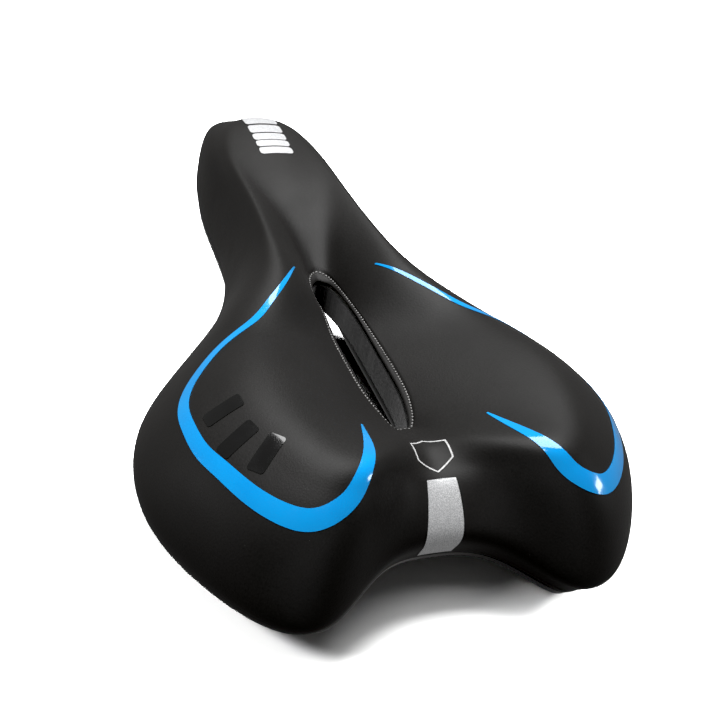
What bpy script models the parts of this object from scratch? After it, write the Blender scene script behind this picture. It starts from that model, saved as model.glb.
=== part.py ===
"""Bicycle saddle: padded cover, foam, gel pads, moulded base, steel rails and trim films.

Metres, +Z up. +Y points to the nose, +X to the rider's right. The origin is under the
middle of the saddle, on the plane that the wing rims and the rails rest on.
"""
import math

import bpy
import numpy as np
from mathutils import Vector
from mathutils.bvhtree import BVHTree

MM = 0.001
GAP = 0.3

# Driving sizes in millimetres.
COVER_THICKNESS = 1.0
BASE_THICKNESS = 2.5
FOAM_DEPTH = 17.0
SLOT_WALL = 10.5
RIM_HEIGHT = 2.0
FLANGE_WIDTH = 5.0
GEL_THICKNESS = 4.0
LINING_THICKNESS = 1.0
RAIL_RADIUS = 3.5
RAIL_SPACING = 44.0
RAIL_SIDES = 12
SCREW_RADIUS = 1.9
BOSS_RADIUS = 4.6
FILM_THICKNESS = 0.3
FILM_GAP = 1.2

# The right half of the saddle, as sections that run from the outline to the slot's seam.
# x, y, z of the widest line | hem inset, hem z | shoulder inset, z | crest share, z | seam x, y, z |
# share of the drop from crest to seam that is done halfway
STATIONS = np.array([
    (0, -117, 29, 5, 11.5, 8, 39.5, 0.55, 43.5, 0, -75, 36, 0.45),       # bridge between the wings
    (21, -122, 27, 5, 12.5, 8, 41, 0.46, 50, 2.2, -75, 36, 0.45),
    (41, -134.5, 20, 6, 6.5, 9, 42, 0.39, 57, 4, -70, 36.5, 0.45),       # wing, inner rear
    (60, -131.5, 19, 12, 1, 9, 41, 0.39, 58.5, 5.5, -62, 37, 0.45),
    (77, -109, 20, 10, 0, 8, 40.5, 0.44, 58.5, 6.3, -53, 37, 0.45),
    (87, -78, 21, 6, 1.5, 10, 39, 0.50, 56.5, 6.5, -40, 37, 0.45),       # wing, widest
    (80, -44, 24, 4, 6, 10, 36, 0.57, 52.5, 6.5, -24, 37, 0.45),
    (53, -9, 25, 3, 10.5, 7, 39.5, 0.58, 54.5, 5.8, -10, 37.5, 0.45),    # waist
    (33.5, 27, 26.5, 3, 13, 5, 42, 0.44, 56, 5.4, 1, 36.5, 0.42),
    (27.5, 67, 28.5, 3, 14.5, 5, 44, 0.35, 56, 4.6, 8, 36, 0.34),
    (26, 105, 29, 4, 16, 4, 45, 0.33, 55.5, 3.2, 12.5, 36, 0.27),
    (17, 131.5, 27, 5, 17, 4, 45.5, 0.29, 57, 1.6, 14.5, 36, 0.24),
    (0, 135.6, 26, 5, 17, 6, 44.5, 0.26, 58.5, 0, 15.5, 36, 0.25),       # nose tip
], float)
RING = 2 * (len(STATIONS) - 1)

# Right rail: centre line of its rear bend and of its nose bend; a straight stretch joins them.
# The last point of the rear bend and the first of the nose bend only lead into that stretch.
RAIL_X = RAIL_SPACING / 2
REAR_BEND = (
    (30, -103, 24), (30, -94, 23.8), (29, -85, 21.4), (27, -75, 16), (24.8, -64.5, 9.6),
    (22.9, -54, 4.9), (RAIL_X, -43, RAIL_RADIUS), (RAIL_X, -33, RAIL_RADIUS),
)
NOSE_BEND = (
    (RAIL_X, 10, RAIL_RADIUS), (RAIL_X, 20, RAIL_RADIUS), (21.6, 30, 4.8), (20, 41, 8.6),
    (17.4, 52, 13.8), (14.3, 64, 19.2), (11.2, 76, 23.8), (8.8, 87, 26.5), (8, 97, 27),
    (8, 106, 27),
)

# Rail blocks: centre and half sizes, and the places of the screws that hold them to the base.
REAR_BLOCK = ((30, -97, 24), (11.5, 8, 5.5))
REAR_SCREWS = {"inner": (22, -97), "outer": (38, -97)}
NOSE_BLOCK = ((0, 99, 27), (13.5, 9, 5.2))
NOSE_SCREWS = {"rear": (0, 94), "front": (0, 104)}
SCREW_HOLE = 2.2
HEAD_RADIUS = 3.4
HEAD_HEIGHT = 2.2

# Blue trim line of the right wing, as plan points and the film's width at each.
STRIPE = (
    (16.3, 2.5, 0.6), (24, -10, 1.6), (33, -21.3, 2.2), (42, -31.5, 2.7), (54, -40, 3.2),
    (63, -48, 3.8), (69.5, -56, 4.3), (73, -65, 4.6), (73.6, -75, 4.9), (72.5, -86, 5.2),
    (69.2, -96, 5.6), (64.5, -106.5, 6.0), (58, -116, 6.5), (50, -122.3, 6.7), (42, -122.8, 6.4),
    (35, -119, 5.6), (29, -110.5, 4.3), (25, -99.5, 2.6), (22.2, -88.5, 0.6),
)

# Nose bars from the nose back, as y and width; the gloss bars as x, y and angle.
NOSE_BARS = ((111.3, 10), (101.6, 6.6), (94.8, 5.2), (89.3, 4.6), (83.8, 4.8))
NOSE_BAR_LENGTH = 14.5
GLOSS_BARS = ((-64, -77, 5), (-63, -90.5, 18), (-57, -100, 38))
GLOSS_BAR_LENGTH = 11
GLOSS_BAR_WIDTH = 6
REAR_STRIP_WIDTH = 13
REAR_STRIP_ROWS = (3.35, 0.3)
STRIP_SPAN = 21.7
MARK_RADIUS = 7
MARK_LINE = 1.0
MARK_Y = -97


# ---------------------------------------------------------------- curves and surfaces

def ring_matrix(count, samples):
    """Weights that read a closed cubic spline through count points at the given samples."""
    left = np.zeros((count, count))
    right = np.zeros((count, count))
    for i in range(count):
        left[i, i] = 4
        left[i, i - 1] = left[i, (i + 1) % count] = 1
        right[i, (i + 1) % count] = 3
        right[i, i - 1] = -3
    return hermite(np.linalg.solve(left, right), samples, True)


def line_matrix(count, samples):
    """The same for an open spline with free ends."""
    left = np.zeros((count, count))
    right = np.zeros((count, count))
    left[0, :2] = 2, 1
    right[0, :2] = -3, 3
    left[-1, -2:] = 1, 2
    right[-1, -2:] = -3, 3
    for i in range(1, count - 1):
        left[i, i - 1:i + 2] = 1, 4, 1
        right[i, i - 1] = -3
        right[i, i + 1] = 3
    return hermite(np.linalg.solve(left, right), samples, False)


def hermite(slopes, samples, closed):
    count = len(slopes)
    points = np.eye(count)
    rows = []
    for sample in samples:
        i = math.floor(sample)
        if not closed:
            i = min(i, count - 2)
        t = sample - i
        i, j = i % count, (i + 1) % count
        rows.append((2 * t**3 - 3 * t**2 + 1) * points[i] + (t**3 - 2 * t**2 + t) * slopes[i]
                    + (3 * t**2 - 2 * t**3) * points[j] + (t**3 - t**2) * slopes[j])
    return np.array(rows)


class Section:
    """One row of points, given by its inset from the outline and its height, all the way round."""

    def __init__(self):
        (self.x, self.y, self.bulge_z, self.hem_in, self.hem_z, self.shoulder_in, self.shoulder_z,
         share, self.crest_z, self.seam_x, self.seam_y, self.seam_z, fall) = STATIONS.T
        self.out = np.stack([self.x, self.y], 1)
        inward = np.stack([self.seam_x, self.seam_y], 1) - self.out
        self.length = np.linalg.norm(inward, axis=1)
        self.inward = inward / self.length[:, None]
        self.crest_in = share * self.length
        self.slope_in = self.crest_in + 0.55 * (self.length - self.crest_in)
        self.slope_z = self.crest_z + fall * (self.seam_z - self.crest_z)

    def edge_in(self, rise):
        """Inset of the outer side at a small height over the hem."""
        return self.hem_in * (1 - 0.7 * rise / (0.45 * (self.bulge_z - self.hem_z)))

    def row(self, inset, height):
        """The closed ring of points with that inset and height at each station."""
        inset = np.broadcast_to(inset, self.length.shape)
        height = np.broadcast_to(height, self.length.shape)
        half = np.column_stack([self.out + self.inward * inset[:, None], height])
        return np.concatenate([half, half[1:-1][::-1] * (-1, 1, 1)])


SECTION = Section()


def skin_rows():
    """The eight rows that the cover's outer surface passes through."""
    s = SECTION
    top_in = s.shoulder_in + 0.45 * (s.crest_in - s.shoulder_in)
    top_z = s.shoulder_z + 0.72 * (s.crest_z - s.shoulder_z)
    return np.stack([
        s.row(s.hem_in, s.hem_z),
        s.row(0.3 * s.hem_in, 0.55 * s.hem_z + 0.45 * s.bulge_z),
        s.row(0, s.bulge_z),
        s.row(s.shoulder_in, s.shoulder_z),
        s.row(top_in, top_z),
        s.row(s.crest_in, s.crest_z),
        s.row(s.slope_in, s.slope_z),
        s.row(s.length, s.seam_z),
    ], 1)


SKIN = skin_rows()


def skin_grid(around, across, depth=0.0):
    """Points at a depth under the cover's outer surface; depth may vary over the grid."""
    step = 0.02

    def read(us, vs):
        return np.einsum("ai,ijk,bj->abk", ring_matrix(RING, us), SKIN, line_matrix(8, vs))

    us, vs = np.asarray(around, float), np.asarray(across, float)
    along = read(us + step, vs) - read(us - step, vs)
    over = read(us, vs + step) - read(us, vs - step)
    normal = np.cross(along, over)
    normal /= np.linalg.norm(normal, axis=2, keepdims=True)
    depth = np.broadcast_to(depth, (len(us), len(vs)))
    return read(us, vs) - normal * depth[:, :, None]


def smooth_route(points, steps):
    """A smooth line through the points, with some points between each pair."""
    points = np.asarray(points, float)
    samples = np.arange((len(points) - 1) * steps + 1) / steps
    return line_matrix(len(points), samples) @ points


# ---------------------------------------------------------------- objects

def material(name, colour, roughness, metallic=0.0):
    found = bpy.data.materials.get(name)
    if found:
        return found
    made = bpy.data.materials.new(name)
    made.use_nodes = True
    shader = made.node_tree.nodes["Principled BSDF"]
    shader.inputs["Base Color"].default_value = (*colour, 1)
    shader.inputs["Roughness"].default_value = roughness
    shader.inputs["Metallic"].default_value = metallic
    return made


def solid(name, points, faces, finish):
    """A named object from points in millimetres, with its faces turned outward."""
    mesh = bpy.data.meshes.new(name)
    mesh.from_pydata([tuple(float(c) * MM for c in p) for p in points], [], faces)
    mesh.validate()
    made = bpy.data.objects.new(name, mesh)
    bpy.context.collection.objects.link(made)
    mesh.materials.append(finish)
    if signed_volume(mesh) < 0:
        mesh.flip_normals()
    return made


def signed_volume(mesh):
    mesh.calc_loop_triangles()
    total = 0.0
    for tri in mesh.loop_triangles:
        a, b, c = (mesh.vertices[i].co for i in tri.vertices)
        total += a.dot(b.cross(c))
    return total


def loft(name, rings, finish, closed=True):
    """A body from rings of points: a closed tube of rings, or an open one with flat ends."""
    count, size = len(rings), len(rings[0])
    points = [p for ring in rings for p in ring]
    faces = []
    for k in range(count if closed else count - 1):
        low, high = k * size, (k + 1) % count * size
        for i in range(size):
            j = (i + 1) % size
            faces.append((low + i, low + j, high + j))
            faces.append((low + i, high + j, high + i))
    if not closed:
        faces.append(tuple(reversed(range(size))))
        faces.append(tuple((count - 1) * size + i for i in range(size)))
    return solid(name, points, faces, finish)


def patch(name, top, bottom, finish):
    """A plate between two equal grids of points."""
    rows, columns = top.shape[:2]
    points = np.concatenate([top.reshape(-1, 3), bottom.reshape(-1, 3)])
    under = rows * columns
    faces = []
    for i in range(rows - 1):
        for j in range(columns - 1):
            a, b = i * columns + j, (i + 1) * columns + j
            for tri in ((a, b, b + 1), (a, b + 1, a + 1)):
                faces.append(tri)
                faces.append(tuple(under + v for v in reversed(tri)))
    edge = [j for j in range(columns)]
    edge += [i * columns + columns - 1 for i in range(1, rows)]
    edge += [(rows - 1) * columns + j for j in reversed(range(columns - 1))]
    edge += [i * columns for i in reversed(range(1, rows - 1))]
    for a, b in zip(edge, edge[1:] + edge[:1]):
        faces.append((a, b, under + b))
        faces.append((a, under + b, under + a))
    return solid(name, points, faces, finish)


def tube(name, route, radius, sides, finish):
    """A round bar along a route, with facets that face straight up and down."""
    route = np.asarray(route, float)
    rings = []
    for k, centre in enumerate(route):
        ahead = route[min(k + 1, len(route) - 1)] - route[max(k - 1, 0)]
        ahead /= np.linalg.norm(ahead)
        side = np.cross(ahead, (0, 0, 1))
        side /= np.linalg.norm(side)
        up = np.cross(side, ahead)
        turns = (np.arange(sides) + 0.5) * 2 * math.pi / sides
        flat = radius / math.cos(math.pi / sides)
        rings.append([centre + flat * (math.cos(t) * side + math.sin(t) * up) for t in turns])
    return loft(name, rings, finish, closed=False)


def turned(name, profile, place, finish, sides=12):
    """A turned body; profile lists radius and height, from the axis back to the axis."""
    points = []
    faces = []
    turns = [2 * math.pi * (k + 0.3) / sides for k in range(sides)]
    for radius, height in profile[1:-1]:
        points += [(place[0] + radius * math.cos(t), place[1] + radius * math.sin(t),
                    place[2] + height) for t in turns]
    rings = len(profile) - 2
    points.append((place[0], place[1], place[2] + profile[0][1]))
    points.append((place[0], place[1], place[2] + profile[-1][1]))
    first, last = rings * sides, rings * sides + 1
    for i in range(sides):
        j = (i + 1) % sides
        for k in range(rings - 1):
            low, high = k * sides, (k + 1) * sides
            faces.append((low + i, low + j, high + j, high + i))
        faces.append((first, j, i))
        faces.append((last, (rings - 1) * sides + i, (rings - 1) * sides + j))
    return solid(name, points, faces, finish)


def block(name, centre, half, finish):
    corners = [(x, y, z) for x in (-1, 1) for y in (-1, 1) for z in (-1, 1)]
    points = [tuple(c + s * h for c, s, h in zip(centre, corner, half)) for corner in corners]
    sides = [(0, 1, 3, 2), (4, 6, 7, 5), (0, 4, 5, 1), (2, 3, 7, 6), (0, 2, 6, 4), (1, 5, 7, 3)]
    faces = [half for a, b, c, d in sides for half in ((a, b, c), (a, c, d))]
    return solid(name, points, faces, finish)


def combine(target, other, operation):
    """Adds or cuts another shape, which is then only a guide."""
    change = target.modifiers.new(other.name, "BOOLEAN")
    change.operation = operation
    change.object = other
    other.hide_render = True
    other.display_type = "WIRE"


# ---------------------------------------------------------------- cover, foam and gel

AROUND = np.arange(RING * 2) / 2
COVER_ACROSS = (0.6, 1, 1.5, 2, 2.5, 3, 3.5, 4, 4.5, 5, 5.5, 6, 6.5, 6.92)
FOAM_ACROSS = (0.6, 1, 1.5, 2, 2.5, 3, 3.5, 4, 4.5, 5, 5.5, 6, 6.5, 6.8)
GEL_ROWS = (4, 4.5, 5, 5.5, 6)
GEL_REACH = (2.5, 6.0)


def rings_of(grid):
    return [grid[:, k] for k in range(grid.shape[1])]


def spread(row):
    """A section row read at the base's, foam's and lining's points round the saddle."""
    return ring_matrix(RING, AROUND) @ row


def build_cover(finish):
    s = SECTION
    rise = RIM_HEIGHT + GAP
    read = ring_matrix(RING, AROUND)
    hem = [read @ s.row(s.edge_in(rise) + inset, s.hem_z + rise) for inset in (0, COVER_THICKNESS)]
    outer = rings_of(skin_grid(AROUND, COVER_ACROSS))
    inner = rings_of(skin_grid(AROUND, COVER_ACROSS, COVER_THICKNESS))
    return loft("cover", inner + outer[::-1] + hem, finish)


def in_gel(around):
    place = around if around <= RING / 2 else RING - around
    return GEL_REACH[0] <= place <= GEL_REACH[1]


def build_foam(finish):
    depth = np.full((len(AROUND), len(FOAM_ACROSS)), COVER_THICKNESS + GAP)
    for i, around in enumerate(AROUND):
        for j, across in enumerate(FOAM_ACROSS):
            if in_gel(around) and across in GEL_ROWS:
                depth[i, j] += GEL_THICKNESS + GAP
    outer = rings_of(skin_grid(AROUND, FOAM_ACROSS, depth))
    s = SECTION
    above_base = base_top()[-2:2:-1]
    clear = [(0, GAP), (0, GAP), (-0.5, 0.4), (-0.5, 0.4)]
    wall = [
        spread(s.row(s.length - LINING_THICKNESS - 2 * GAP, s.seam_z - 2.2)),
        spread(s.row(s.length - LINING_THICKNESS - 2 * GAP, s.seam_z - SLOT_WALL + 1.0)),
    ]
    back = [spread(s.row(inset + aside, height + up))
            for (inset, height), (aside, up) in zip(above_base, clear)]
    foot = spread(s.row(s.hem_in + FLANGE_WIDTH - 0.7, s.hem_z + RIM_HEIGHT + GAP))
    toe_in = s.edge_in(RIM_HEIGHT) + COVER_THICKNESS + 1.0
    toe = spread(s.row(toe_in, s.hem_z + RIM_HEIGHT + GAP))
    return loft("foam_cushion", outer + wall + back + [foot, toe], finish)


def build_gel(name, right, finish):
    around = np.arange(GEL_REACH[0], GEL_REACH[1] + 0.1, 0.5)
    if not right:
        around = RING - around
    depth = COVER_THICKNESS + GAP
    top = skin_grid(around, GEL_ROWS, depth)
    bottom = skin_grid(around, GEL_ROWS, depth + GEL_THICKNESS)
    return patch(name, top, bottom, finish)


# ---------------------------------------------------------------- base, slot lining and thread

def base_top():
    """Inset and height of the base's upper side, from the rim's foot to the slot."""
    s = SECTION
    wall_in = np.minimum(13.5, 0.8 * s.crest_in)
    return [
        (s.hem_in + 0.3, s.hem_z),
        (s.edge_in(RIM_HEIGHT) + 0.3, s.hem_z + RIM_HEIGHT),
        (s.hem_in + FLANGE_WIDTH, s.hem_z + RIM_HEIGHT),
        (wall_in, s.bulge_z),
        (wall_in + 0.3 * (s.crest_in - wall_in), s.shoulder_z - 9),
        (s.crest_in, s.crest_z - FOAM_DEPTH),
        (s.slope_in, s.slope_z - FOAM_DEPTH),
        (s.length - LINING_THICKNESS - GAP, s.seam_z - SLOT_WALL),
    ]


def base_under():
    """The same for its lower side, from the slot back to the rim's foot."""
    s = SECTION
    t = BASE_THICKNESS
    wall_in = np.minimum(13.5, 0.8 * s.crest_in)
    return [
        (s.length - LINING_THICKNESS - GAP, s.seam_z - SLOT_WALL - t),
        (s.slope_in, s.slope_z - FOAM_DEPTH - t),
        (s.crest_in, s.crest_z - FOAM_DEPTH - t),
        (wall_in + t + 0.3 * (s.crest_in - wall_in), s.shoulder_z - 9 - t),
        (wall_in + t, s.bulge_z - 1),
        (s.hem_in + FLANGE_WIDTH + t, s.hem_z + RIM_HEIGHT - 0.5),
        (s.hem_in + t + 0.5, s.hem_z),
    ]


def build_base(finish):
    rows = base_top()[::-1] + base_under()[::-1]
    return loft("base_shell", [spread(SECTION.row(*row)) for row in rows], finish)


def build_lining(finish):
    s = SECTION
    top = s.seam_z - 1.7
    foot = s.seam_z - SLOT_WALL - BASE_THICKNESS
    rows = [(s.length - LINING_THICKNESS, top), (s.length, top), (s.length, foot),
            (s.length - LINING_THICKNESS, foot)]
    return loft("slot_lining", [spread(s.row(*row)) for row in rows], finish)


def build_thread(finish):
    """The seam's thread, lying on the cover just outside the slot."""
    across = (6.80, 6.88, 6.88, 6.80)
    low, high = -0.5, -1.0
    rings = [skin_grid(AROUND, [v], d)[:, 0] for v, d in zip(across, (low, low, high, high))]
    return loft("slot_stitching", rings, finish)


# ---------------------------------------------------------------- rails and their fixings

def rail_route(sign):
    rear = smooth_route(REAR_BEND, 2)[:-2]
    nose = smooth_route(NOSE_BEND, 2)[2:]
    return np.vstack([rear, nose]) * (sign, 1, 1)


def build_rail(name, sign, finish):
    return tube(name, rail_route(sign), RAIL_RADIUS, RAIL_SIDES, finish)


def screw_places():
    """Name, x, y, and the block's bottom and top, for each screw."""
    places = []
    (_, _, middle), (_, _, half) = REAR_BLOCK
    for side, sign in (("left", -1), ("right", 1)):
        for place, (x, y) in REAR_SCREWS.items():
            name = f"rear_rail_screw_{side}_{place}"
            places.append((name, sign * x, y, middle - half, middle + half))
    (_, _, middle), (_, _, half) = NOSE_BLOCK
    for place, (x, y) in NOSE_SCREWS.items():
        places.append((f"nose_rail_screw_{place}", x, y, middle - half, middle + half))
    return places


def height_above(tree, x, y):
    """Height of the first surface over a point of the ground plane, in millimetres."""
    hit = tree.ray_cast(Vector((x, y, 0)) * MM, Vector((0, 0, 1)))[0]
    return hit.z / MM


def rod(name, x, y, low, high, radius, finish, sides=12):
    profile = [(0, low), (radius, low), (radius, high), (0, high)]
    return turned(name, profile, (x, y, 0), finish, sides)


def surface_tree(thing):
    mesh = thing.data
    return BVHTree.FromPolygons([v.co for v in mesh.vertices], [p.vertices for p in mesh.polygons])


def build_bosses(base, finish):
    """Screw bosses under the base; each one's top lies inside the base's own thickness."""
    tree = surface_tree(base)
    ends = {}
    for name, x, y, _, top in screw_places():
        turns = [2 * math.pi * (k + 0.3) / 12 for k in range(12)]
        rim = [(x + BOSS_RADIUS * math.cos(t), y + BOSS_RADIUS * math.sin(t)) for t in turns]
        sink = 0.5 * BASE_THICKNESS
        points = [(px, py, top + GAP) for px, py in rim]
        points += [(px, py, height_above(tree, px, py) + sink) for px, py in rim]
        points.append((x, y, height_above(tree, x, y) + sink))
        faces = [tuple(reversed(range(12)))]
        for i in range(12):
            j = (i + 1) % 12
            faces.append((i, j, 12 + j))
            faces.append((i, 12 + j, 12 + i))
            faces.append((12 + i, 12 + j, 24))
        combine(base, solid(f"guide_boss_{name}", points, faces, finish), "UNION")
        ends[name] = height_above(tree, x, y) - 0.4
    for name, x, y, _, top in screw_places():
        hole = rod(f"guide_hole_{name}", x, y, top - 1, ends[name], SCREW_HOLE, finish)
        combine(base, hole, "DIFFERENCE")
    return ends


def cut_pocket(target, sign, at_rear, finish):
    """The pocket that a rail's end sits in, a gap wider and deeper than the rail."""
    route = rail_route(sign)
    stretch = route[:7] if at_rear else route[-7:]
    stretch[0 if at_rear else -1, 1] += -GAP if at_rear else GAP
    name = f"guide_pocket_{target.name}_{sign}"
    combine(target, tube(name, stretch, RAIL_RADIUS + GAP, RAIL_SIDES, finish), "DIFFERENCE")


def cut_screw_holes(target, label, finish):
    for name, x, y, bottom, top in screw_places():
        if label in name:
            hole = rod(f"guide_through_{name}", x, y, bottom - 2, top + 2, SCREW_HOLE, finish)
            combine(target, hole, "DIFFERENCE")


def build_blocks(finish):
    """Nylon blocks that hold the rails' ends."""
    for side, sign in (("left", -1), ("right", 1)):
        (x, y, z), half = REAR_BLOCK
        made = block(f"rear_rail_block_{side}", (sign * x, y, z), half, finish)
        cut_pocket(made, sign, True, finish)
        cut_screw_holes(made, f"rear_rail_screw_{side}", finish)
    made = block("nose_rail_block", *NOSE_BLOCK, finish)
    for sign in (-1, 1):
        cut_pocket(made, sign, False, finish)
    cut_screw_holes(made, "nose_rail_screw", finish)


def build_screws(ends, finish):
    for name, x, y, bottom, _ in screw_places():
        under = bottom - GAP
        tip = ends[name] - GAP
        profile = [(0, under - HEAD_HEIGHT), (0.8 * HEAD_RADIUS, under - HEAD_HEIGHT),
                   (HEAD_RADIUS, under - 0.6 * HEAD_HEIGHT), (HEAD_RADIUS, under),
                   (SCREW_RADIUS, under), (SCREW_RADIUS, tip), (0, tip)]
        turned(name, profile, (x, y, 0), finish)


# ---------------------------------------------------------------- films on the cover

def film(name, plan, tree, finish):
    """A thin film laid on the cover from above, over a grid of plan points."""
    low = []
    for row in plan:
        for x, y in row:
            hit, normal = tree.ray_cast(Vector((x, y, 100)) * MM, Vector((0, 0, -1)))[:2]
            low.append(np.array(hit) / MM + np.array(normal) * FILM_GAP)
    low = np.array(low).reshape(len(plan), -1, 3)
    patch(name, low + (0, 0, FILM_THICKNESS), low, finish)


def strip_plan(line, widths, columns=3, tree=None):
    """Plan points of a strip; with a tree, its widths are measured along the slope."""
    line = np.asarray(line, float)
    ahead = np.gradient(line, axis=0)
    ahead /= np.linalg.norm(ahead, axis=1, keepdims=True)
    side = np.stack([ahead[:, 1], -ahead[:, 0]], 1)
    if tree:
        widths = [w * flattened(tree, p, n) for p, n, w in zip(line, side, widths)]
    across = np.linspace(-0.5, 0.5, columns)
    return [[p + n * w * a for a in across] for p, n, w in zip(line, side, widths)]


def flattened(tree, place, side):
    """How much shorter a small step to the side is in plan than along the surface."""
    normal = tree.ray_cast(Vector((place[0], place[1], 100)) * MM, Vector((0, 0, -1)))[1]
    slope = (normal.x * side[0] + normal.y * side[1]) / normal.z
    return 1 / math.sqrt(1 + slope**2)


def bar_plan(x, y, length, width, angle=0.0, pieces=4):
    """Plan points of a straight bar centred on x, y."""
    ahead = np.array((math.cos(angle), math.sin(angle)))
    along = np.linspace(-0.5, 0.5, pieces + 1) * length
    line = [np.array((x, y)) + ahead * a for a in along]
    return strip_plan(line, [width] * len(line))


def build_films(cover, finishes):
    tree = surface_tree(cover)
    fine = smooth_route(STRIPE, 3)
    for name, sign in (("stripe_film_left", -1), ("stripe_film_right", 1)):
        plan = strip_plan(fine[:, :2] * (sign, 1), fine[:, 2], 3, tree)
        film(name, plan, tree, finishes["stripe"])
    for k, (y, width) in enumerate(NOSE_BARS):
        plan = bar_plan(0, y, NOSE_BAR_LENGTH, width)
        film(f"nose_bar_film_{k + 1}", plan, tree, finishes["reflective"])
    for k, (x, y, degrees) in enumerate(GLOSS_BARS):
        plan = bar_plan(x, y, GLOSS_BAR_LENGTH, GLOSS_BAR_WIDTH, math.radians(degrees))
        film(f"gloss_bar_film_{k + 1}", plan, tree, finishes["gloss"])
    around = np.array((-0.5, 0, 0.5)) * REAR_STRIP_WIDTH / STRIP_SPAN
    across = np.linspace(*REAR_STRIP_ROWS, 7)
    low = skin_grid(around, across, -FILM_GAP)
    high = skin_grid(around, across, -FILM_GAP - FILM_THICKNESS)
    patch("rear_reflective_strip", high, low, finishes["reflective"])
    turns = np.arange(6) * math.pi / 3
    loops = []
    for radius in (MARK_RADIUS - MARK_LINE / 2, MARK_RADIUS + MARK_LINE / 2):
        loops.append([(radius * math.sin(t), MARK_Y + radius * math.cos(t)) for t in turns])
    ring_film("outline_mark", loops, tree, finishes["white"])


def ring_film(name, loops, tree, finish):
    """A closed outline laid on the cover."""
    rings = []
    for loop, lift in ((loops[0], 0), (loops[1], 0), (loops[1], 1), (loops[0], 1)):
        ring = []
        for x, y in loop:
            hit, normal = tree.ray_cast(Vector((x, y, 100)) * MM, Vector((0, 0, -1)))[:2]
            rise = FILM_GAP + lift * FILM_THICKNESS
            ring.append(np.array(hit) / MM + np.array(normal) * rise)
        rings.append(ring)
    loft(name, rings, finish)


# ---------------------------------------------------------------- the saddle

def main():
    for thing in list(bpy.data.objects):
        bpy.data.objects.remove(thing, do_unlink=True)
    leather = material("synthetic_leather", (0.035, 0.034, 0.033), 0.55)
    fabric = material("lining_fabric", (0.03, 0.03, 0.03), 0.8)
    thread = material("thread", (0.45, 0.45, 0.45), 0.7)
    foam = material("foam", (0.25, 0.25, 0.24), 0.9)
    gel = material("gel", (0.35, 0.55, 0.75), 0.2)
    plastic = material("base_plastic", (0.012, 0.012, 0.012), 0.18)
    nylon = material("nylon", (0.02, 0.02, 0.02), 0.45)
    steel = material("black_steel", (0.02, 0.02, 0.02), 0.35, 0.4)
    zinc = material("zinc_screw", (0.5, 0.5, 0.48), 0.35, 1.0)
    finishes = {
        "stripe": material("blue_film", (0.0, 0.3, 1.0), 0.15),
        "reflective": material("reflective_film", (0.7, 0.71, 0.72), 0.4),
        "gloss": material("gloss_black_film", (0.01, 0.01, 0.01), 0.06),
        "white": material("white_print", (0.85, 0.85, 0.85), 0.4),
    }
    cover = build_cover(leather)
    build_foam(foam)
    build_gel("gel_pad_left", False, gel)
    build_gel("gel_pad_right", True, gel)
    base = build_base(plastic)
    build_lining(fabric)
    build_thread(thread)
    for side, sign in (("left", -1), ("right", 1)):
        build_rail(f"rail_{side}", sign, steel)
    ends = build_bosses(base, plastic)
    build_blocks(nylon)
    build_screws(ends, zinc)
    build_films(cover, finishes)


main()
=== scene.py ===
"""Bicycle saddle: high-resolution cover, lining, stitches, trim films and rails around the CAD frame.

The surface functions and the sizes repeat those of the CAD script, in millimetres.
"""
import math

import bpy
import bmesh
import numpy as np
from mathutils import Matrix, Vector
from mathutils.bvhtree import BVHTree


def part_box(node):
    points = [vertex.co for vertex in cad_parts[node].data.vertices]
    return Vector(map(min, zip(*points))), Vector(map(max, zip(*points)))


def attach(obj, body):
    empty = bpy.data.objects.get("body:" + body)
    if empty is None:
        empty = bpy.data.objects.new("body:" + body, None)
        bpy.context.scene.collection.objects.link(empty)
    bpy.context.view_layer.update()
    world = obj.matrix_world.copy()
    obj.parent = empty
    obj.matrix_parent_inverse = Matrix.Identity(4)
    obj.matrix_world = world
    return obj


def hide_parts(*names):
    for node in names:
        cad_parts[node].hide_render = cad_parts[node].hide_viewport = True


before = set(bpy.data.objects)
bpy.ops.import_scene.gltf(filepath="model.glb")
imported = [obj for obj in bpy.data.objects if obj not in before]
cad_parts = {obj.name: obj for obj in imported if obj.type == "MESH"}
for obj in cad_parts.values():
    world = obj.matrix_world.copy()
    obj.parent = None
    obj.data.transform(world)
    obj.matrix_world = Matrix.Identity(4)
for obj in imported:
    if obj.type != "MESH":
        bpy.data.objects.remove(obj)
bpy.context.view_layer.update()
MM = 0.001

# ---------------------------------------------------------------- sizes shared with the CAD

COVER_THICKNESS = 1.0
BASE_THICKNESS = 2.5
FOAM_DEPTH = 17.0
SLOT_WALL = 10.5
RIM_HEIGHT = 2.0
FLANGE_WIDTH = 5.0
GEL_THICKNESS = 4.0
LINING_THICKNESS = 1.0
GAP = 0.3
RAIL_RADIUS = 3.5
RAIL_X = 22.0

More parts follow.
